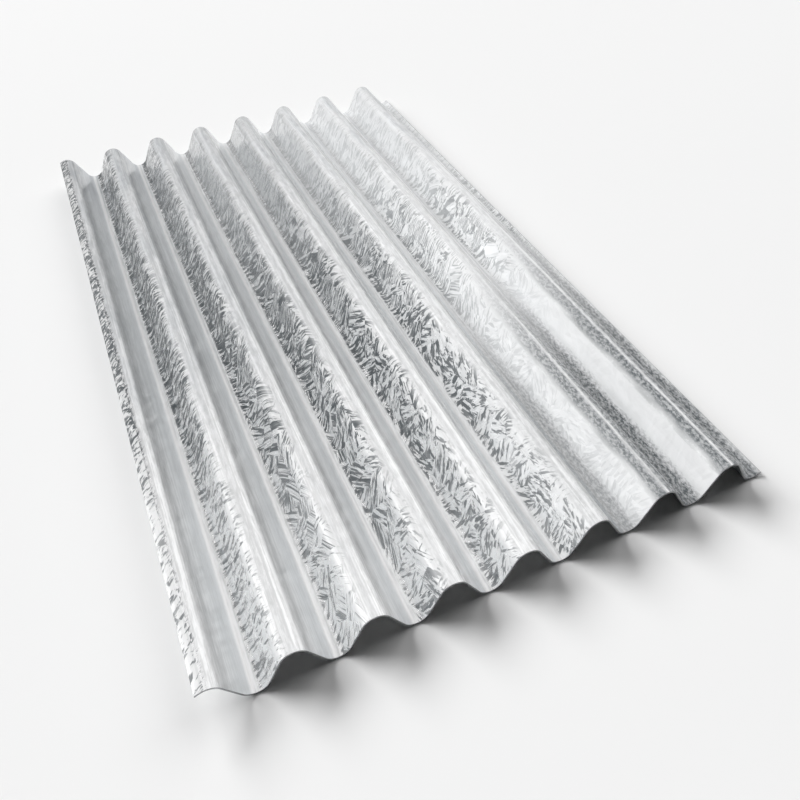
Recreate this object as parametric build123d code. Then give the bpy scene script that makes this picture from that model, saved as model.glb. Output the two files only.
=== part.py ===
from build123d import *
import math
import os

# Corrugated steel sheet, rolled from one flat blank, in millimetres.
# X runs across the waves, Y runs along them and Z is up.
# The origin is the middle of the footprint, on the line where the valleys rest.

# Driving dimensions of the sheet
sheet_length = 1000.0
sheet_thickness = 2.0

# Driving dimensions of the wave, all taken on the middle of the metal
wave_pitch = 76.2
wave_depth = 40.0
bend_radius = 14.0
crest_count = 8

# The sheet starts part of the way up the first crest's bend, so that its left
# edge points down, and ends part of the way round the last valley's bend, in a
# lip that turns up. There the next sheet can lap over.
down_edge_turn = 40.0
up_edge_turn = 45.0


def flank_slope(pitch, depth, radius):
    """Gives the flank's angle to the horizontal, in degrees.

    Half a wave is an arc, a straight flank and an arc, all tangent. The line
    between the two arc centres and the flank cross at their middle, so the
    flank's angle is the centre line's angle plus the angle whose sine is the
    diameter over the distance between the centres.
    """
    run = pitch / 2
    rise = 2 * radius - depth
    centre_distance = math.hypot(run, rise)
    return math.degrees(math.asin(2 * radius / centre_distance) - math.atan2(rise, run))


flank_angle = flank_slope(wave_pitch, wave_depth, bend_radius)
crest_centre_z = wave_depth - bend_radius
valley_centre_z = bend_radius


def crest_bend(index, radius, start_angle, end_angle):
    """Makes the arc over one crest, from the left to the right, at a radius."""
    centre = (index * wave_pitch, crest_centre_z)
    return CenterArc(centre, radius, start_angle, end_angle - start_angle)


def valley_bend(index, radius, start_angle, end_angle):
    """Makes the arc under the valley to the right of a crest, at a radius."""
    centre = ((index + 0.5) * wave_pitch, valley_centre_z)
    return CenterArc(centre, radius, start_angle, end_angle - start_angle)


def face_line(offset):
    """Gives the edges of one face of the metal, at an offset above its middle.

    A crest bend grows with the offset and a valley bend shrinks with it. Each
    straight flank runs from the end of one bend to the start of the next.
    """
    edges = []
    for index in range(crest_count):
        left_turn = flank_angle if index > 0 else down_edge_turn
        right_turn = flank_angle if index < crest_count - 1 else up_edge_turn
        crest = crest_bend(index, bend_radius + offset, 90 + left_turn, 90 - flank_angle)
        valley = valley_bend(index, bend_radius - offset, 270 - flank_angle, 270 + right_turn)
        if index > 0:
            edges.append(Line(edges[-1] @ 1, crest @ 0))
        edges += [crest, Line(crest @ 1, valley @ 0), valley]
    return edges


def sheet_section():
    """Closes the upper and lower faces of the metal with two square cut edges."""
    upper = face_line(sheet_thickness / 2)
    lower = face_line(-sheet_thickness / 2)
    down_edge = Line(lower[0] @ 0, upper[0] @ 0)
    up_edge = Line(upper[-1] @ 1, lower[-1] @ 1)
    outline = Wire([*upper, up_edge, *lower, down_edge])
    return make_face(Plane.XZ * outline)


sheet = extrude(sheet_section(), amount=sheet_length / 2, both=True)

footprint = sheet.bounding_box()
middle_x = (footprint.min.X + footprint.max.X) / 2
corrugated_sheet = Pos(-middle_x, 0, -footprint.min.Z) * sheet

os.makedirs("parts", exist_ok=True)
export_step(corrugated_sheet, "parts/corrugated_sheet.step")

size = corrugated_sheet.bounding_box().size
print(f"flank angle {flank_angle:.2f} degrees, first crest at x = {-middle_x:.2f} mm")
print(f"sheet {size.X:.2f} x {size.Y:.2f} x {size.Z:.2f} mm, volume {corrugated_sheet.volume:.0f} mm3")
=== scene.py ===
# %% [markdown]
# # A corrugated metal sheet
#
# The object is one sheet of galvanised steel, rolled into round waves. Its sizes come from the packed
# model, which this file loads first. Everything here is in metres: X runs across the waves, Y along them
# and Z is up.

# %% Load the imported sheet
import math
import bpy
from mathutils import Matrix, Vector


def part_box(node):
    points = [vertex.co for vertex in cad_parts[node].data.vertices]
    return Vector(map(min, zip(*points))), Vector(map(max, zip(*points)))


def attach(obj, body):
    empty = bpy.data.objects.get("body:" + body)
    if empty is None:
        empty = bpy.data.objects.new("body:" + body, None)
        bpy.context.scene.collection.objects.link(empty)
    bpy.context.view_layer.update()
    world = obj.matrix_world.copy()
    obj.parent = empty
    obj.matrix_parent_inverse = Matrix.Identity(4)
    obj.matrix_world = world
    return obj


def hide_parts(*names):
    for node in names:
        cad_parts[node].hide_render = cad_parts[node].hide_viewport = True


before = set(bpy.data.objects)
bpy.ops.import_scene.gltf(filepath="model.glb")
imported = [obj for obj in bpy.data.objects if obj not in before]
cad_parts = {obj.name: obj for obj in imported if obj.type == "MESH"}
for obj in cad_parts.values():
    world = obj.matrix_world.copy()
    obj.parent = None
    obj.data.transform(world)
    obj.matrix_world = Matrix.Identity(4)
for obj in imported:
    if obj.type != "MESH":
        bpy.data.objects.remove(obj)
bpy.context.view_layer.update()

from types import SimpleNamespace

import bpy
import numpy as np
from mathutils import Vector

sheet_low, sheet_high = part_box("corrugated_sheet")
to_mm = 1000
print("packed sheet", [round((high - low) * to_mm, 1) for low, high in zip(sheet_low, sheet_high)], "mm")

# %% [markdown]
# ## The wave, as a drawing rule
#
# A roller bends the steel the same way all along the sheet, so one line across it says everything. The line
# runs through the middle of the metal. It could be typed in as points, but a wave is better told by how it
# turns: a bend turns at a steady rate, a flank doesn't turn at all, and the two meet without a kink.

# %% Sizes of the wave
pitch = 0.0762
depth = 0.040
bend_radius = 0.014
thickness = 0.002
crest_count = 8
down_edge_turn = math.radians(40)
up_edge_turn = math.radians(45)
sheet_length = sheet_high[1] - sheet_low[1]

rise = 2 * bend_radius - depth
flank_angle = math.asin(2 * bend_radius / math.hypot(pitch / 2, rise)) - math.atan2(rise, pitch / 2)
flank_length = (pitch / 2 - 2 * bend_radius * math.sin(flank_angle)) / math.cos(flank_angle)
print("flanks stand at", round(math.degrees(flank_angle), 2), "degrees")
print("each flank is", round(flank_length * to_mm, 2), "mm long")

# %% Stretches of the line, from the turned-down edge to the turned-up one


def wave_stretches():
    """Lists the line's stretches as (length, turn in radians), where a turn to the right is negative."""
    rows = []
    for index in range(crest_count):
        last = index == crest_count - 1
        crest_turn = flank_angle + (flank_angle if index > 0 else down_edge_turn)
        valley_turn = flank_angle + (up_edge_turn if last else flank_angle)
        rows += [(bend_radius * crest_turn, -crest_turn), (flank_length, 0.0)]
        rows += [(bend_radius * valley_turn, valley_turn), (flank_length, 0.0)]
    return np.array(rows[:-1])


stretch_length, stretch_turn = wave_stretches().T
stretch_start = np.concatenate([[0.0], np.cumsum(stretch_length)])
stretch_heading = down_edge_turn + np.concatenate([[0.0], np.cumsum(stretch_turn)])
blank_width = stretch_start[-1]
print("before rolling, the blank is", round(blank_width * to_mm, 1), "mm wide")

# %% [markdown]
# A point on a bend follows from the heading alone. On a circle, the way travelled across is the change in
# the heading's sine over the rate of turn, and the way climbed is the change in its cosine. On a flank,
# both are plain distance times the heading's cosine and sine.

# %% Where a point of the line lies


def bend_walk(first, last, rate):
    """Across and up along a bend: (sin last - sin first) / rate, and (cos first - cos last) / rate."""
    return (np.sin(last) - np.sin(first)) / rate, (np.cos(first) - np.cos(last)) / rate


def walk_line(distance):
    """Turns distances along the line into x, z and heading, by the rule above, as whole arrays."""
    bends = np.abs(stretch_turn) > 0
    rate = np.where(bends, stretch_turn / stretch_length, 1.0)
    whole_x, whole_z = bend_walk(stretch_heading[:-1], stretch_heading[1:], rate)
    whole_x = np.where(bends, whole_x, stretch_length * np.cos(stretch_heading[:-1]))
    whole_z = np.where(bends, whole_z, stretch_length * np.sin(stretch_heading[:-1]))
    begin_x = np.concatenate([[0.0], np.cumsum(whole_x)])
    begin_z = np.concatenate([[0.0], np.cumsum(whole_z)])
    at = np.clip(np.searchsorted(stretch_start, distance, side="right") - 1, 0, len(stretch_length) - 1)
    gone = distance - stretch_start[at]
    first = stretch_heading[at]
    heading = first + np.where(bends[at], rate[at], 0.0) * gone
    part_x, part_z = bend_walk(first, heading, rate[at])
    x = begin_x[at] + np.where(bends[at], part_x, gone * np.cos(first))
    z = begin_z[at] + np.where(bends[at], part_z, gone * np.sin(first))
    return x, z, heading


first_crest_distance = bend_radius * down_edge_turn
crest_x, crest_z, _ = walk_line(np.array([first_crest_distance]))
first_crest_x = sheet_low[0] + crest_x[0] + thickness / 2 * math.sin(down_edge_turn)
lift_z = depth + thickness / 2 - crest_z[0]
print("the first crest stands at x =", round(first_crest_x * to_mm, 2), "mm")

# %% [markdown]
# ## The sheet as a bent slab
#
# The real sheet is one strip of steel, so it is made as one closed skin: a thin slab with softly broken
# edges, bent along the line. A Solidify modifier on a wavy plane would be quicker, but its rim is a bare
# right angle, and the rim is what catches the light along a cut end. Here every point of the skin has three
# slab numbers: how far across the blank, how far along it, and how high above the middle of the metal.

# %% Rows across and along the slab
edge_radius = 0.0004
rim_turns = np.radians([90.0, 60.0, 30.0])
rim_insets = edge_radius * (1 - np.sin(rim_turns))
support_inset = 0.0014
least_gap = 0.0002
bend_steps = 16
flank_steps = 4
along_steps = 72


def rim_rows(inner, low, high):
    """Puts rim and support rows at both ends of a list of inner places.

    Gives the places, and each row's turn from the flat face towards the edge.
    """
    near = np.concatenate([low + rim_insets, [low + edge_radius, low + support_inset]])
    far = np.concatenate([[high - support_inset, high - edge_radius], (high - rim_insets)[::-1]])
    inner = inner[(inner > near[-1] + least_gap) & (inner < far[0] - least_gap)]
    flat = np.zeros(len(inner) + 4)
    return np.concatenate([near, inner, far]), np.concatenate([-rim_turns, flat, rim_turns[::-1]])


steps = np.where(np.abs(stretch_turn) > 0, bend_steps, flank_steps)
across_inner = np.concatenate([
    begin + length * np.arange(1, count + 1) / count
    for begin, length, count in zip(stretch_start[:-1], stretch_length, steps)
])
across, across_rim = rim_rows(across_inner, 0.0, blank_width)
half_length = sheet_length / 2
along_inner = np.linspace(-half_length, half_length, along_steps + 1)
along, along_rim = rim_rows(along_inner, -half_length, half_length)
print("the skin has", len(across), "rows across and", len(along), "rows along")

# %% Bend the slab


def unit(vectors):
    """Each vector divided by its own length."""
    return vectors / np.linalg.norm(vectors, axis=-1, keepdims=True)


def bent_slab(side):
    """One face of the slab, on the grid of across and along rows.

    Place = line point + height times line normal. The height is half the thickness less the rim's drop, and
    the drop is the edge radius times (1 - cos of the rim's turn). Normal = line normal, leaning outwards by
    the sine of the rim's turn.
    """
    x, z, heading = walk_line(across)
    a_turn, b_turn = np.meshgrid(across_rim, along_rim, indexing="ij")
    _, y = np.meshgrid(across, along, indexing="ij")
    flatness = np.cos(a_turn) * np.cos(b_turn)
    height = side * (thickness / 2 - edge_radius * (1 - flatness))
    normal = np.stack([-np.sin(heading), 0 * heading, np.cos(heading)], axis=-1)[:, None, :]
    tangent = np.stack([np.cos(heading), 0 * heading, np.sin(heading)], axis=-1)[:, None, :]
    middle = np.stack([0 * y + x[:, None], y, 0 * y + z[:, None]], axis=-1)
    place = middle + height[..., None] * normal
    lean = side * normal * flatness[..., None] + tangent * np.sin(a_turn)[..., None]
    lean = lean + np.array([0.0, 1.0, 0.0]) * np.sin(b_turn)[..., None]
    return place, unit(lean)


top_place, top_normal = bent_slab(1.0)
under_place, under_normal = bent_slab(-1.0)
move = np.array([first_crest_x - crest_x[0], 0.0, lift_z])
print("the upper face is", np.round(np.ptp(top_place.reshape(-1, 3), axis=0) * to_mm, 2), "mm")

# %% Join the two faces round the rim


def grid_faces(rows, columns, first, flip):
    """Quads of a grid whose point (i, j) has the number first + i * columns + j."""
    i, j = np.meshgrid(np.arange(rows - 1), np.arange(columns - 1), indexing="ij")
    corner = first + i * columns + j
    quads = np.stack([corner, corner + columns, corner + columns + 1, corner + 1], axis=-1).reshape(-1, 4)
    return quads[:, ::-1] if flip else quads


def rim_loop(rows, columns):
    """Numbers of a grid's outer points, in order round it."""
    number = np.arange(rows * columns).reshape(rows, columns)
    return np.concatenate([number[:-1, 0], number[-1, :-1], number[:0:-1, -1], number[0, :0:-1]])


rows, columns = len(across), len(along)
loop = rim_loop(rows, columns)
next_loop = np.roll(loop, -1)
top_count = rows * columns
wall = np.stack([loop, loop + top_count, next_loop + top_count, next_loop], axis=-1)
faces = np.concatenate([
    grid_faces(rows, columns, 0, False),
    grid_faces(rows, columns, top_count, True),
    wall,
])
places = np.concatenate([top_place.reshape(-1, 3), under_place.reshape(-1, 3)]) + move
normals = np.concatenate([top_normal.reshape(-1, 3), under_normal.reshape(-1, 3)])
print(len(places), "points and", 2 * len(faces), "triangles")

# %% Put the skin into a mesh


def skin_mesh(name, points, quads, point_normals):
    """A mesh from whole arrays: points, quads, and a smooth normal at each point."""
    mesh = bpy.data.meshes.new(name)
    mesh.from_pydata(points.tolist(), [], quads.tolist())
    mesh.polygons.foreach_set("use_smooth", np.ones(len(quads), dtype=bool))
    mesh.normals_split_custom_set_from_vertices(point_normals.tolist())
    return mesh


sheet_mesh = skin_mesh("corrugated_skin", places, faces, normals)
sheet = bpy.data.objects.new("corrugated_skin", sheet_mesh)
bpy.context.scene.collection.objects.link(sheet)
print(sheet_mesh.name, "has", len(sheet_mesh.vertices), "points and", len(sheet_mesh.polygons), "quads")

# %% [markdown]
# The finish needs to know where it is on the sheet as it lay flat, before rolling, because the zinc
# crystals grew on it then. So the mesh carries the two flat distances as a UV map, in metres. What changes
# slowly over the sheet is worked out here too, as one number at each point, and the shader reads it by
# name.

# %% Flat map
half_wave = bend_radius * flank_angle * 2 + flank_length


def add_number(name, values):
    """Stores one number at each point of the sheet's two faces."""
    data = sheet_mesh.attributes.new(name, "FLOAT", "POINT").data
    data.foreach_set("value", np.tile(values.astype(np.float32).ravel(), 2))


def ease(value, low, high):
    """Rises smoothly from 0 at low to 1 at high: 3 t squared - 2 t cubed."""
    t = np.clip((value - low) / (high - low), 0.0, 1.0)
    return t * t * (3 - 2 * t)


flat_across, flat_along = np.meshgrid(across, along, indexing="ij")
to_right = flat_across / blank_width
to_far = flat_along / sheet_length + 0.5
cut_rim = (np.abs(across_rim)[:, None] + np.abs(along_rim)[None, :]) > 0

# A UV map holds one place for each corner of each quad, so the points' places are dealt out to the corners.
corner_point = np.empty(len(sheet_mesh.loops), dtype=np.int32)
sheet_mesh.loops.foreach_get("vertex_index", corner_point)
face_points = np.stack([flat_across, flat_along + half_length], axis=-1).reshape(-1, 2)
flat_points = np.tile(face_points, (2, 1))
flat_map = sheet_mesh.uv_layers.new(name="flat_sheet")
flat_map.data.foreach_set("uv", flat_points[corner_point].astype(np.float32).ravel())
print("half a wave is", round(half_wave * to_mm, 1), "mm of metal")

# %% Where painted shade greys the crystals, and where it leaves them pale
# Every ease below starts and ends at a share of the sheet's width or length.
# The number before an ease says how much it does.
# grey is painted shade on the crystals: darkest towards the far left, paler towards the near end and the
# right edge.
middle_share = ease(to_right, 0.15, 0.40)
near_rise = ease(to_far, 0.12 - 0.30 * middle_share, 0.46 + 0.06 * middle_share)
right_share = 1 - 0.25 * ease(to_right, 0.15, 0.55) - 0.50 * ease(to_right, 0.55, 0.85)
far_share = 1 - 0.55 * ease(to_far, 0.55, 0.95) * middle_share
grey = near_rise * right_share * far_share

# The shards are soft at the far end and at the near right. At the near right the crystals are painted almost
# plain and pale, a painted highlight.
far_softness = ease(to_far, 0.45 - 0.07 * ease(to_right, 0.45, 0.70), 0.85) * ease(to_right, 0.10, 0.45)
right_softness = ease(to_right, 0.62, 0.85) * (1 - ease(to_far, 0.25, 0.55))
shards = (1 - 0.75 * far_softness) * (1 - 0.80 * right_softness)

# A strip of painted shade lies at the near right. The growing direction stirs most in the near middle.
stain = ease(to_right, 0.56, 0.84) * (1 - ease(to_far, 0.15, 0.50 + 0.20 * ease(to_right, 0.85, 0.95)))
stir = (1 - 0.8 * ease(to_far, 0.30, 0.7)) * ease(to_right, 0.10, 0.45)

# Painted shade: the smooth zinc is painted darker towards the far end, and most so in the far left corner.
shade = ease(to_far, 0.20, 0.50) * (0.55 - 0.40 * ease(to_right, 0.20, 0.50) * (1 - ease(to_far, 0.6, 0.9)))
shade = shade + 0.45 * ease(to_far, 0.80, 1.0) * (1 - ease(to_right, 0.10, 0.35))

mesh_numbers = {
    "grey": grey,
    "shade": shade,
    "stain": stain,
    "stir": stir,
    "shards": shards,
    "clean": right_softness,
    "dull": ease(to_right, 0.42, 0.85),
    "cut_edge": cut_rim,
}
for name, values in mesh_numbers.items():
    add_number(name, values)
print("greyness runs from", round(grey.min(), 2), "to", round(grey.max(), 2))

# %% [markdown]
# ## Galvanised steel
#
# Molten zinc freezes on the steel in flat crystals, each a feather of fine needles. Every crystal tilts its
# facets its own way, so under one light it shows its own grey. A photograph could be wrapped on, but
# crystals drawn by nodes keep their edge at any distance. The material is built up in layers, one to a
# cell. Each layer is a number from 0 to 1 that says how much of it shows at a point, and a few helpers keep
# the wiring short.
#
# Places on the wave are in metres. Where a value has two numbers, a change starts and ends there. Three
# numbers are the start, the peak and the end of a hump. With four numbers, the last two are the levels that
# the change runs between.

# %% Node helpers


class Nodes:
    """Short ways to add nodes to a tree and wire them."""

    def __init__(self, tree):
        self.tree = tree
        tree.nodes.clear()

    def add(self, kind, settings=None, **inputs):
        """Adds a node. An input may be a number, a colour, or another node's output."""
        node = self.tree.nodes.new(kind)
        for key, value in (settings or {}).items():
            setattr(node, key, value)
        for key, value in inputs.items():
            self.feed(node, key, value)
        return node

    def feed(self, node, key, value):
        """Sets or wires one input, found by its name or by its number after a letter i."""
        name = key.replace("_", " ")
        socket = node.inputs[int(key[1:])] if key[0] == "i" and key[1:].isdigit() else node.inputs[name]
        if isinstance(value, bpy.types.NodeSocket):
            self.tree.links.new(value, socket)
        else:
            socket.default_value = value

    def math(self, operation, first, second=0.0, third=0.0):
        """One step of arithmetic on single numbers."""
        return self.add("ShaderNodeMath", {"operation": operation}, i0=first, i1=second, i2=third).outputs[0]

    def times(self, *values):
        """The product of two or more numbers."""
        product = values[0]
        for value in values[1:]:
            product = self.math("MULTIPLY", product, value)
        return product

    def line(self, value, slope, start):
        """A straight line: slope times the value, plus a start."""
        return self.math("MULTIPLY_ADD", value, slope, start)

    def shake(self, value, cloud, width):
        """Moves a number by up to half a width either way: value + width times (cloud - 1/2)."""
        return self.line(cloud, width, self.math("SUBTRACT", value, width / 2))

    def smooth(self, value, low, high, out_low=0.0, out_high=1.0):
        """Eases a number from out_low to out_high while it goes from low to high."""
        node = self.add("ShaderNodeMapRange", {"interpolation_type": "SMOOTHSTEP"}, i0=value, i1=low, i2=high)
        self.feed(node, "i3", out_low)
        self.feed(node, "i4", out_high)
        return node.outputs[0]

    def fade(self, value, low, high):
        """Eases a number from 1 down to 0 while it goes from low to high."""
        return self.smooth(value, low, high, 1.0, 0.0)

    def hump(self, value, low, peak, high):
        """Eases a number from 0 at low up to 1 at peak, and back to 0 at high."""
        return self.times(self.smooth(value, low, peak), self.fade(value, peak, high))

    def blend(self, factor, first, second):
        """Mixes two single numbers."""
        return self.add("ShaderNodeMix", {"data_type": "FLOAT"}, i0=factor, i2=first, i3=second).outputs[0]

    def mix(self, factor, first, second, blend="MIX"):
        """Mixes two colours."""
        node = self.add("ShaderNodeMix", {"data_type": "RGBA", "blend_type": blend})
        for index, value in ((0, factor), (6, first), (7, second)):
            self.feed(node, f"i{index}", value)
        return node.outputs[2]

    def join(self, red, green, blue):
        """A colour from its three parts."""
        return self.add("ShaderNodeCombineColor", None, i0=red, i1=green, i2=blue).outputs[0]

    def stretch(self, vector, x, y, shift=0.0):
        """Multiplies the two flat distances, and moves the result by a shift."""
        node = self.add("ShaderNodeVectorMath", {"operation": "MULTIPLY_ADD"}, i0=vector, i1=(x, y, 1.0))
        self.feed(node, "i2", (shift, shift, 0.0))
        return node.outputs[0]

    def noise(self, vector, detail=2.0, roughness=0.5):
        """Soft random cloud from 0 to 1 in two dimensions, about one swell to a unit."""
        node = self.add("ShaderNodeTexNoise", {"noise_dimensions": "2D"}, Vector=vector, Scale=1.0)
        self.feed(node, "Detail", detail)
        self.feed(node, "Roughness", roughness)
        return node.outputs["Fac"]

    def cells(self, vector, scale=1.0):
        """Three random numbers for each cell of a two-dimensional Voronoi pattern."""
        node = self.add("ShaderNodeTexVoronoi", {"voronoi_dimensions": "2D"}, Vector=vector, Scale=scale)
        return self.add("ShaderNodeSeparateColor", None, i0=node.outputs["Color"]).outputs


# %% [markdown]
# The metal from crest to valley is equally long on every wave. So the distance across the blank, wrapped
# round at each wave, tells how far a point is from the nearest valley and the nearest crest. To the left of
# them it's negative.

# %% Where a point lies on its wave
# Swells to a metre, across the sheet and along it.
cloud_scale = (60.0, 14.0)
streak_scale = (420.0, 4.0)


def read_place(n):
    """Reads the mesh's numbers and the flat place, and draws two clouds that several layers share."""
    at = SimpleNamespace()
    for name in mesh_numbers:
        setattr(at, name, n.add("ShaderNodeAttribute", {"attribute_name": name}).outputs["Fac"])
    at.flat = n.add("ShaderNodeUVMap", {"uv_map": "flat_sheet"}).outputs[0]
    at.across = n.add("ShaderNodeSeparateXYZ", None, i0=at.flat).outputs[0]
    first_valley = first_crest_distance + half_wave
    at.from_valley = n.math("WRAP", n.math("SUBTRACT", at.across, first_valley), half_wave, -half_wave)
    at.from_crest = n.math("WRAP", n.math("SUBTRACT", at.across, first_crest_distance), half_wave, -half_wave)
    at.cloud = n.noise(n.stretch(at.flat, *cloud_scale))
    at.streak = n.noise(n.stretch(at.flat, *streak_scale), 3.0, 0.6)
    return at


# %% [markdown]
# The crystals grow in patches. A coarse Voronoi pattern gives each patch a direction, and the flat place is
# turned by it, so that whatever is drawn on the turned place runs that way. The needles also arch a little
# between valley and crest. A cloud drawn out along them gives the needles, and a finer Voronoi pattern the
# facets.

# %% Patches, needles and facets
patch_size = 0.022
growth_lean = math.radians(4)
growth_spread = (math.radians(18), math.radians(170))
strip_lean = math.radians(38)
strip_end = 0.018
arch_bend = 2.5
arch_top = 0.024

# Length and width.
needle_size = (0.025, 0.0048)
facet_size = (0.012, 0.0040)


def grain(n, at, size, shift, detail=2.0):
    """Cloud drawn out along the growing direction, for needles of a length and a width."""
    return n.noise(n.stretch(at.grown, 1 / size[0], 1 / size[1], shift), detail, 0.6)


def grow_crystals(n, at):
    """Draws the patches, the turned place, the needles and the facets.

    The place is first moved along the sheet by the arch: the bend times the square of the distance from the
    arch's top. Then it's turned by the patch's random number times the spread, less the lean.
    """
    at.patch = n.cells(at.flat, 1 / patch_size)
    spread = n.smooth(at.stir, 0.0, 1.0, *growth_spread)
    turn = n.math("SUBTRACT", n.times(n.math("SUBTRACT", at.patch[0], 0.5), spread), growth_lean)
    turn = n.math("SUBTRACT", turn, n.times(n.math("LESS_THAN", at.across, strip_end), strip_lean))
    arch = n.math("SUBTRACT", at.from_valley, arch_top)
    arch = n.add("ShaderNodeCombineXYZ", None, i1=n.times(arch, arch, arch_bend)).outputs[0]
    arched = n.add("ShaderNodeVectorMath", {"operation": "ADD"}, i0=at.flat, i1=arch).outputs[0]
    turned = n.add("ShaderNodeVectorRotate", {"rotation_type": "Z_AXIS"}, Vector=arched, Angle=turn)
    at.grown = turned.outputs[0]
    at.needles = grain(n, at, needle_size, 0.0, 3.0)
    at.facet = n.cells(n.stretch(at.grown, 1 / facet_size[0], 1 / facet_size[1]))


# %% [markdown]
# The crystals show on the rising side of each wave and along the turned-down edge. Their band starts at the
# tips of the needles and ends raggedly under the crest. Beyond it, the bends and falling sides are smooth.
# The crystals are real, but keeping their dark greys to the rising sides is painted shade.

# %% Where the crystals show
band_start = 0.001
band_end = 0.056
start_fade = 0.003
needle_reach = 0.003
raggedness = 0.020
end_fade = (0.010, 0.005)
strip_reach = 0.008
strip_fade = 0.004


def crystal_cover(n, at):
    """1 where crystals show and 0 where the zinc is smooth."""
    trimmed = n.shake(at.from_valley, at.needles, needle_reach)
    ragged = n.shake(at.from_valley, at.cloud, raggedness)
    band = n.times(n.smooth(trimmed, band_start, band_start + start_fade),
                   n.fade(ragged, band_end - end_fade[0], band_end + end_fade[1]))
    strip = n.fade(n.line(at.needles, strip_reach, at.across), strip_end - strip_fade, strip_end)
    return n.math("MAXIMUM", band, strip)


# %% [markdown]
# A shard is dark where the needles, its facet's random number and the greyness of the place add up past a
# limit; that greyness is painted shade. Short dark strokes bunch along the two seams beside the bends, and
# pale strokes cut through everything.

# %% Greys of the crystals
facet_jitter = 0.24
grey_push = 0.17
patch_push = 0.12
thinning = (0.010, 0.055, -0.05, -0.12)
dark_limit = (0.51, 0.58)
soft_level = 0.45
darkest_grey = (0.68, 0.97)
darkest_by = 0.6
facet_dark = 0.20
palest_grey = 0.26


def shard_greys(n, at):
    """Each shard's grey: between the palest and the darkest one by how far it is past the limit."""
    push = n.line(at.grey, grey_push, n.math("MULTIPLY", at.patch[1], patch_push))
    push = n.math("ADD", push, n.smooth(at.from_valley, *thinning))
    past_limit = n.smooth(n.math("ADD", n.shake(at.needles, at.facet[0], facet_jitter), push), *dark_limit)
    softened = n.line(n.math("SUBTRACT", past_limit, soft_level), at.shards, soft_level)
    darkest = n.times(n.smooth(at.grey, 0.0, darkest_by, *darkest_grey),
                      n.line(at.facet[0], facet_dark, 1 - facet_dark))
    return n.blend(softened, n.math("MULTIPLY", at.grey, palest_grey), darkest)


# %% Strokes on the crystals
stroke_size = (0.017, 0.0046)
dark_stroke_shift = 7.3
pale_stroke_shift = 3.1
valley_seam = (0.0, 0.004, 0.011)
crest_seam = (-0.015, -0.008, -0.002)
busy_patches = (0.30, 0.60)
dark_stroke_limit = (0.54, 0.62)
pale_stroke_limit = (0.55, 0.59)
stroke_dark = 0.80
stroke_grey = 0.10
stroke_pale = 0.88
# How much the painted highlight at the near right pales the crystals.
painted_pale_share = 0.85


def crystal_greys(n, at):
    """The shards' greys with dark strokes laid over and pale strokes cut out, weaker where the near right is
    painted pale as a highlight.
    """
    seam = n.math("MAXIMUM", n.hump(at.from_valley, *valley_seam), n.hump(at.from_crest, *crest_seam))
    busy = n.math("MAXIMUM", seam, n.smooth(at.patch[2], *busy_patches))
    strength = n.times(at.shards, n.line(at.grey, stroke_grey, stroke_dark))
    dark = n.smooth(grain(n, at, stroke_size, dark_stroke_shift), *dark_stroke_limit)
    pale = n.smooth(grain(n, at, stroke_size, pale_stroke_shift), *pale_stroke_limit)
    greys = n.math("MAXIMUM", shard_greys(n, at), n.times(dark, busy, strength))
    greys = n.times(greys, n.line(n.times(pale, at.shards), -stroke_pale, 1.0))
    return n.times(greys, n.line(at.clean, -painted_pale_share, 1.0))


# %% [markdown]
# The rolls leave thin grey lines along each crest. Near the right edge a strip of painted shade starts before
# the crest and runs down over the falling side into the valley, with one painted highlight line left along
# the crest. Its two sides are frayed.

# %% Lines and painted shade strip
crest_line = (-0.005, 0.0, 0.006)
crest_line_grey = 0.24
side_line = (0.012, 0.020, 0.030)
side_line_grey = 0.30
line_streaks = (0.40, 0.60)
# A strip of painted shade: its start and end past each crest, its fades and fray, and a painted highlight
# line left in it.
shade_strip_start = 0.017
shade_strip_end = 0.094
shade_strip_fades = (0.010, 0.012)
shade_strip_fray = 0.010
fray_offset = 0.012
painted_highlight_line = (-0.002, 0.001, 0.004)
painted_highlight_share = 0.7
blotch_scale = (330.0, 170.0)
blotch_greys = (0.34, 0.64, 0.55, 0.98)


def roll_lines(n, at):
    """Two thin humps past each crest, broken up by the streaks."""
    streaks = n.smooth(at.streak, *line_streaks)
    side = n.times(n.hump(at.from_crest, *side_line), streaks, side_line_grey)
    crest = n.times(n.hump(at.from_crest, *crest_line), streaks, crest_line_grey)
    return n.math("MAXIMUM", side, crest)


def painted_shade_cover(n, at):
    """Painted shade in blotches between the strip's start and end. Two clouds fray the distance past its
    start.
    """
    blotch = n.noise(n.stretch(at.flat, *blotch_scale), 5.0, 0.7)
    past = n.math("SUBTRACT", at.across, first_crest_distance - shade_strip_start)
    past = n.math("WRAP", past, 2 * half_wave, 0.0)
    past = n.line(n.math("ADD", at.cloud, blotch), -shade_strip_fray, n.math("ADD", past, fray_offset))
    reach = n.times(n.smooth(past, 0.0, shade_strip_fades[0]), n.fade(past, shade_strip_end - shade_strip_fades[1], shade_strip_end))
    kept = n.line(n.hump(at.from_crest, *painted_highlight_line), -painted_highlight_share, 1.0)
    return n.times(at.stain, n.smooth(blotch, *blotch_greys), reach, kept)


# %% [markdown]
# Smooth zinc is drawn out by the rolls, so its mottle is long and narrow. It's a little bluer on the falling
# sides, which are also painted lighter than the crests. Painted shade makes it darker towards the far end,
# and a painted highlight makes it white in a line at the foot of each falling side.

# %% Colours of the zinc
pale_zinc = (0.94, 0.945, 0.95, 1.0)
shaded_zinc = (0.55, 0.575, 0.60, 1.0)
# The falling sides are painted lighter than the crests, and darker towards the far end: painted light and
# shade. Their blue tint is the zinc's own.
bluish_lit_side_zinc = (0.955, 0.985, 1.0, 1.0)
bluish_shaded_side_zinc = (0.74, 0.77, 0.80, 1.0)
painted_highlight_white = (1.0, 1.0, 1.0, 1.0)
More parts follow.
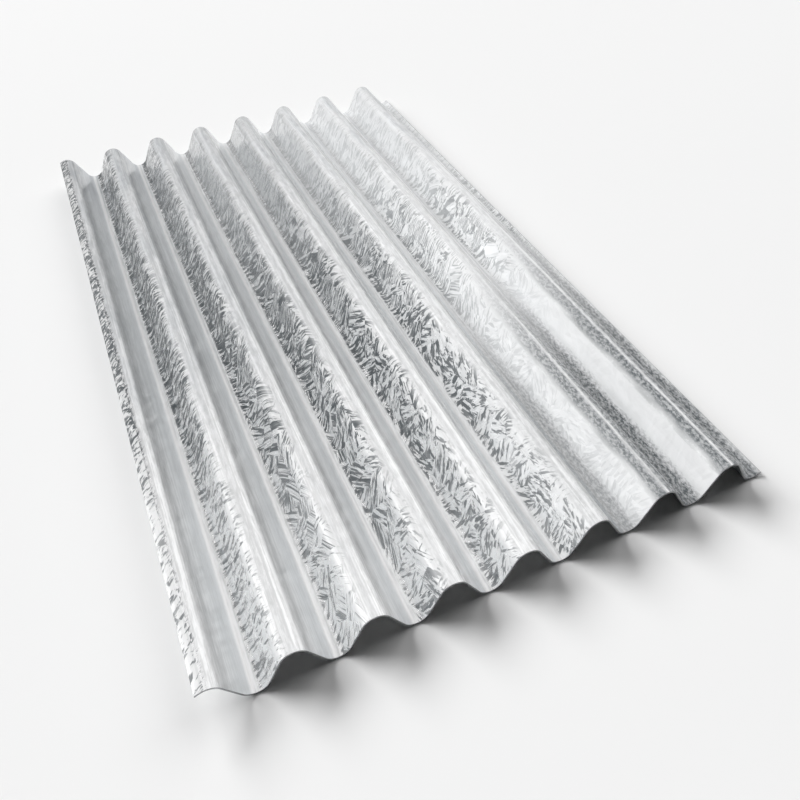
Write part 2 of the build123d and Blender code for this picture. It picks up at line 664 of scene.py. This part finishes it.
# Dark zinc of the crystals and the roll lines, also used for painted shade.
dark_zinc_and_shade = (0.085, 0.098, 0.107, 1.0)
bare_steel = (0.40, 0.41, 0.42, 1.0)
side_start = (0.010, 0.046)
side_foot = (-0.006, -0.003)
shade_clouds = (0.35, 0.65, 0.45, 1.0)
far_shade = (0.55, 1.0)
mottle_scale = (260.0, 45.0)
mottle_share = 0.45
drawn_range = (0.40, 0.60)
drawn_dark = 0.76
drawn_pale = 1.06
side_dark_gain = 0.14
side_pale_loss = 0.06
# Painted highlight: a white line at the foot of each falling side.
painted_highlight_foot = (-0.008, -0.004, 0.0)
painted_highlight_strength = 0.85


def smooth_zinc(n, at):
    """Pale to darker by the painted shade, painted lighter on the falling sides, all times the drawn-out
    mottle.
    """
    shaded = n.times(at.shade, n.smooth(at.cloud, *shade_clouds))
    side = n.mix(n.smooth(at.shade, *far_shade), bluish_lit_side_zinc, bluish_shaded_side_zinc)
    colour = n.mix(at.falling, n.mix(shaded, pale_zinc, shaded_zinc), side)
    mottle = n.noise(n.stretch(at.flat, *mottle_scale), 5.0, 0.7)
    drawn = n.line(mottle, mottle_share, n.math("MULTIPLY", at.streak, 1 - mottle_share))
    drawn = n.smooth(drawn, *drawn_range, n.line(at.falling, side_dark_gain, drawn_dark),
                     n.line(at.falling, -side_pale_loss, drawn_pale))
    colour = n.mix(1.0, colour, drawn, "MULTIPLY")
    return n.mix(n.times(n.hump(at.from_valley, *painted_highlight_foot), painted_highlight_strength), colour, painted_highlight_white)


def zinc_colour(n, at):
    """Smooth zinc darkened by crystal greys, partly painted shade, by roll lines and by painted shade. The
    cut edge is bare steel.
    """
    darkness = n.math("MAXIMUM", n.times(at.crystals, crystal_greys(n, at)), roll_lines(n, at))
    darkness = n.math("MAXIMUM", darkness, painted_shade_cover(n, at))
    colour = n.mix(darkness, n.mix(at.crystals, smooth_zinc(n, at), pale_zinc), dark_zinc_and_shade)
    return n.mix(at.cut_edge, colour, bare_steel)


# %% [markdown]
# Crystals mirror the room sharply and smooth zinc scatters it, so the metal number follows the crystals. In
# the middle of the band each facet leans its own way. The lean is given as a colour to a Normal Map node,
# where half red and half green stand for level.

# %% Shine and lean
facet_start = (0.010, 0.018)
facet_end = (0.038, 0.046)
roughness = 0.20
facet_roughness = 0.12
smooth_metal = 0.32
crystal_metal = (0.034, 0.048, 0.75, 0.45)
dull_metal = 0.15
falling_loss = 0.5
facet_lean = 0.16
ripple = 0.08


def zinc_metal(n, at):
    """How mirror-like the zinc is: less at the right, and less on the falling sides."""
    bright = n.smooth(n.math("MAXIMUM", at.crystals, at.cut_edge), 0.0, 1.0, smooth_metal,
                      n.smooth(at.from_valley, *crystal_metal))
    kept = n.line(at.falling, -falling_loss, 1.0)
    return n.times(bright, n.smooth(at.dull, 0.0, 1.0, 1.0, dull_metal), kept)


def zinc_lean(n, at):
    """The normal: level with a faint ripple, and leaning at random by facets inside the band."""
    level = 0.5 - ripple / 2
    rippled = n.join(n.line(at.streak, ripple, level), n.line(at.cloud, ripple, level), 1.0)
    leaning = n.join(at.facet[1], at.facet[2], 1.0)
    tilt = n.mix(n.math("MULTIPLY", at.inside, facet_lean), rippled, leaning)
    return n.add("ShaderNodeNormalMap", {"uv_map": "flat_sheet"}, Strength=1.0, Color=tilt).outputs[0]


# %% The galvanised material


def galvanised_steel():
    """Zinc on steel: crystals of many greys, smooth zinc over the bends, and a bare cut edge."""
    material = bpy.data.materials.new("galvanised_steel")
    material.use_nodes = True
    n = Nodes(material.node_tree)
    at = read_place(n)
    grow_crystals(n, at)
    at.crystals = crystal_cover(n, at)
    at.falling = n.times(n.smooth(at.from_crest, *side_start), n.fade(at.from_valley, *side_foot))
    at.inside = n.times(at.crystals, at.shards, n.smooth(at.from_valley, *facet_start),
                        n.fade(at.from_valley, *facet_end))
    shader = n.add(
        "ShaderNodeBsdfPrincipled",
        None,
        Base_Color=zinc_colour(n, at),
        Metallic=zinc_metal(n, at),
        Roughness=n.line(n.times(at.facet[1], at.inside), facet_roughness, roughness),
        Normal=zinc_lean(n, at),
    )
    output = n.add("ShaderNodeOutputMaterial")
    n.tree.links.new(shader.outputs[0], output.inputs[0])
    return material


sheet_mesh.materials.append(galvanised_steel())
print("finish:", sheet_mesh.materials[0].name, "with", len(sheet_mesh.materials[0].node_tree.nodes), "nodes")

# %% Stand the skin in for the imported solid
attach(sheet, "root")
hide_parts("corrugated_sheet")

# %% [markdown]
# ## Floor and light
#
# The sheet lies on a plain pale floor that runs out of the picture on all sides, so the floor itself is the
# background. Metal shows what is around it, so the room matters as much as the lamps: a wide soft ceiling
# over darker walls, with a bright card on each side. One broad lamp behind and to the left whitens the
# sides that face it and throws the shadow forward. A weaker one from the right keeps the other sides from
# going black.

# %% Floor
floor_width = 14.0
floor_white = (0.86, 0.86, 0.86, 1.0)
floor_roughness = 0.9
floor_gloss = 0.1


def pale_floor():
    """A flat square of a matt off-white, with its corners at half its width either way."""
    corners = np.array([[-1, -1, 0], [1, -1, 0], [1, 1, 0], [-1, 1, 0]]) * floor_width / 2
    mesh = bpy.data.meshes.new("floor")
    mesh.from_pydata(corners.tolist(), [], [(0, 1, 2, 3)])
    material = bpy.data.materials.new("pale_floor")
    material.use_nodes = True
    shader = material.node_tree.nodes["Principled BSDF"]
    shader.inputs["Base Color"].default_value = floor_white
    shader.inputs["Roughness"].default_value = floor_roughness
    shader.inputs["Specular IOR Level"].default_value = floor_gloss
    mesh.materials.append(material)
    floor = bpy.data.objects.new("floor", mesh)
    bpy.context.scene.collection.objects.link(floor)
    return floor


pale_floor()
print("floor:", floor_width, "m wide")

# %% Room light
wall_level = 0.40
slope_level = 0.62
slope_height = 0.35
ceiling_level = 0.98
ceiling_heights = (0.62, 0.95)
front_share = 0.6
front_range = (-0.6, 0.2)
fill_share = 0.05

# Each card has a direction, the angles in degrees to where it is full and where it ends, and a level.
cards = [
    ((-0.91, 0.40, 0.12), 10, 30, 1.2),
    ((0.80, 0.38, 0.42), 10, 44, 1.3),
]


def light_card(n, direction, level, card):
    """Blends a card's level in, by the cosine of the angle between a direction and the card's own."""
    middle, full, end, card_level = card
    way = unit(np.array(middle))
    toward = n.add("ShaderNodeVectorMath", {"operation": "DOT_PRODUCT"}, i0=direction, i1=way)
    cosines = [math.cos(math.radians(angle)) for angle in (end, full)]
    return n.blend(n.smooth(toward.outputs["Value"], *cosines), level, card_level)


def room_light():
    """Light by direction: a bright ceiling that dims towards the walls, with cards that show in the metal.

    Only mirrored rays see it at full strength, and the camera sees plain white.
    """
    world = bpy.data.worlds.new("studio")
    bpy.context.scene.world = world
    world.use_nodes = True
    n = Nodes(world.node_tree)
    direction = n.add("ShaderNodeTexCoord").outputs["Generated"]
    parts = n.add("ShaderNodeSeparateXYZ", None, i0=direction).outputs
    wall = n.smooth(parts[2], 0.0, slope_height, wall_level, slope_level)
    level = n.math("ADD", wall, n.smooth(parts[2], *ceiling_heights, 0.0, ceiling_level - slope_level))
    level = n.math("MULTIPLY", level, n.smooth(parts[1], *front_range, front_share, 1.0))
    for card in cards:
        level = light_card(n, direction, level, card)
    ray = n.add("ShaderNodeLightPath").outputs
    mirrored = n.math("MAXIMUM", ray["Is Glossy Ray"], ray["Is Transmission Ray"])
    level = n.math("MULTIPLY", level, n.smooth(mirrored, 0.0, 1.0, fill_share, 1.0))
    level = n.math("MAXIMUM", level, ray["Is Camera Ray"])
    shader = n.add("ShaderNodeBackground", None, Color=(1.0, 1.0, 1.0, 1.0), Strength=level)
    output = n.add("ShaderNodeOutputWorld")
    n.tree.links.new(shader.outputs[0], output.inputs[0])


room_light()
print("room:", bpy.context.scene.world.name, "with", len(cards), "cards")

# %% Soft lamps
lamp_distance = 60.0
lamps = {
    "key_light": ((-0.45, 0.75, 0.56), (50.0, 25.0), 57000.0),
    "right_light": ((0.65, 0.40, 0.70), (60.0, 50.0), 18000.0),
}


def soft_lamp(name, toward, size, watts):
    """A large far rectangle of light that looks at the sheet. It is left out of what the metal mirrors."""
    lamp = bpy.data.objects.new(name, bpy.data.lights.new(name, "AREA"))
    lamp.data.energy = watts
    lamp.data.shape = "RECTANGLE"
    lamp.data.size, lamp.data.size_y = size
    way = unit(np.array(toward))
    lamp.location = way * lamp_distance
    lamp.rotation_euler = Vector(-way).to_track_quat("-Z", "Y").to_euler()
    lamp.visible_glossy = False
    bpy.context.scene.collection.objects.link(lamp)


for name, settings in lamps.items():
    soft_lamp(name, *settings)
print("lamps:", ", ".join(lamps))

# %% [markdown]
# ## Camera
#
# The camera stands over the near left corner and looks down across the waves.

# %% Camera
camera_place = (-0.2120, -0.8271, 0.6503)
camera_turn = (44.223, 3.546, -23.576)
camera_lens = 34.7
film_width = 36.0

camera = bpy.data.objects.new("camera", bpy.data.cameras.new("camera"))
camera.data.lens = camera_lens
camera.data.sensor_width = film_width
camera.location = camera_place
camera.rotation_euler = [math.radians(angle) for angle in camera_turn]
bpy.context.scene.collection.objects.link(camera)
bpy.context.scene.camera = camera
bpy.context.scene.view_settings.view_transform = "Standard"
print("camera", camera_lens, "mm, at", [round(value, 3) for value in camera_place], "m")
